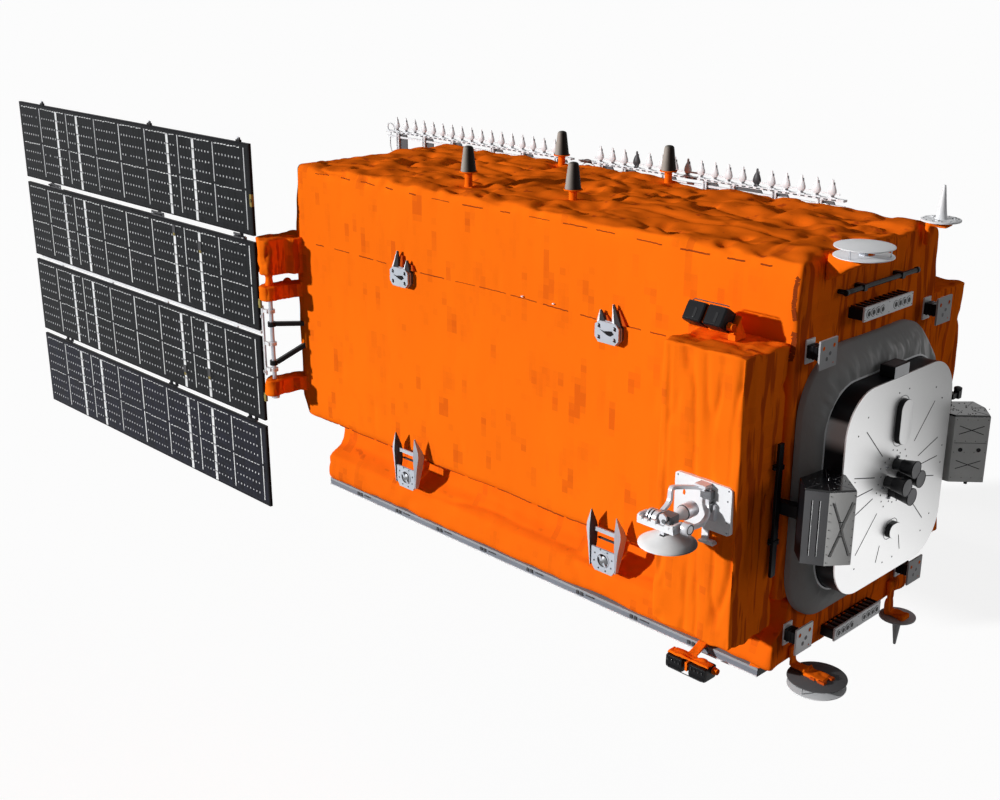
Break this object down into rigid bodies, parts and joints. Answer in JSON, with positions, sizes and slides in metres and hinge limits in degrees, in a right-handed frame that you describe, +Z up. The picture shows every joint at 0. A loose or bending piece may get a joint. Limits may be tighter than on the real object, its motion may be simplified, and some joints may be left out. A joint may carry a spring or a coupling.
{
  "type": "satellite",
  "caption": "Box-shaped satellite in a crinkled orange blanket, with a fold-out solar wing on one side, a steerable dish, roof cones and a white feed rack.",
  "frame": {"origin": "middle of the launch ring's outer face, on the back end of the body", "axes": "+X along the body to the end that carries the round-cornered plate, +Y to the side with the white feed rack, +Z up to the side with the four cones; millimetres in the source, metres in the row"},
  "size_m": [8.435, 2.673, 2.918],
  "materials": {
    "orange_blanket": "crinkled aluminised blanket, satin",
    "grey_blanket": "soft gathered blanket, matt",
    "silver_metal": "bare metal, satin",
    "white_paint": "matt white thermal paint",
    "black_paint": "matt black",
    "grey_paint": "matt grey",
    "solar_cells": "dark cells under cover glass on a black board",
    "gold_metal": "olive gold chromate"
  },
  "bodies": {
    "bus": {"bus_body": "orange_blanket", "lower_keel": "orange_blanket", "base_rail": "silver_metal", "near_locker": "orange_blanket", "far_locker": "orange_blanket", "launch_ring": "silver_metal", "soft_collar": "grey_blanket", "end_plate_body": "black_paint", "end_plate_face": "white_paint", "end_plate_block": "black_paint", "oval_covers": "white_paint", "star_tubes": "black_paint", "near_sensor_box": "grey_paint", "far_sensor_box": "grey_paint", "sensor_struts": "black_paint", "lifting_plates": "white_paint", "lifting_stubs": "black_paint", "upper_connector_block": "black_paint", "lower_connector_block": "black_paint", "top_guide_tube": "black_paint", "side_guide_bar": "black_paint", "upper_disc_antenna": "white_paint", "upper_disc_bracket": "orange_blanket", "lower_disc_antenna": "grey_paint", "lower_disc_bracket": "orange_blanket", "upper_cone_antenna": "white_paint", "upper_cone_arm": "orange_blanket", "lower_cone_antenna": "grey_paint", "lower_cone_arm": "orange_blanket", "roof_cones": "grey_paint", "roof_cone_stands": "orange_blanket", "rear_feed_rack": "white_paint", "front_feed_rack": "white_paint", "rear_feed_elements": "white_paint", "front_feed_elements": "white_paint", "upper_thrusters": "black_paint", "upper_thruster_bracket": "orange_blanket", "lower_thrusters": "black_paint", "lower_thruster_bracket": "orange_blanket", "upper_holddowns": "silver_metal", "lower_holddowns": "silver_metal", "dish_wall_plate": "white_paint", "dish_frame": "silver_metal", "drive_box": "orange_blanket", "upper_hinge_arm": "orange_blanket", "lower_hinge_arm": "orange_blanket", "hinge_tube": "silver_metal", "hinge_struts": "black_paint"},
    "dish_tipper": {"dish_cross_tube": "silver_metal"},
    "dish_head": {"dish": "white_paint"},
    "wing": {"wing_root_bar": "white_paint", "upper_middle_panel": "solar_cells", "lower_middle_panel": "solar_cells", "wing_tie_bars": "white_paint", "fold_hinge_pins": "silver_metal", "panel_edge_brackets": "gold_metal"},
    "top_flap": {"top_panel": "solar_cells"},
    "bottom_flap": {"bottom_panel": "solar_cells"}
  },
  "joints": [
    {"name": "wing_swing", "type": "hinge", "parent": "bus", "child": "wing", "pos_m": [-0.08, -0.93, -0.2895], "axis": [0, 0, 1], "range_deg": [0, 180]},
    {"name": "top_panel_fold", "type": "hinge", "parent": "wing", "child": "top_flap", "pos_m": [-1.915, -0.995, 0.4225], "axis": [1, 0, 0], "range_deg": [0, 180]},
    {"name": "bottom_panel_fold", "type": "hinge", "parent": "wing", "child": "bottom_flap", "pos_m": [-1.915, -0.995, -1.0015], "axis": [-1, 0, 0], "range_deg": [0, 180]},
    {"name": "dish_tip", "type": "hinge", "parent": "bus", "child": "dish_tipper", "pos_m": [4.045, -1.4, -0.32], "axis": [1, 0, 0], "range_deg": [-45, 15]},
    {"name": "dish_swing", "type": "hinge", "parent": "dish_tipper", "child": "dish_head", "pos_m": [4.045, -1.4, -0.285], "axis": [0, 1, 0], "range_deg": [-15, 15]}
  ]
}
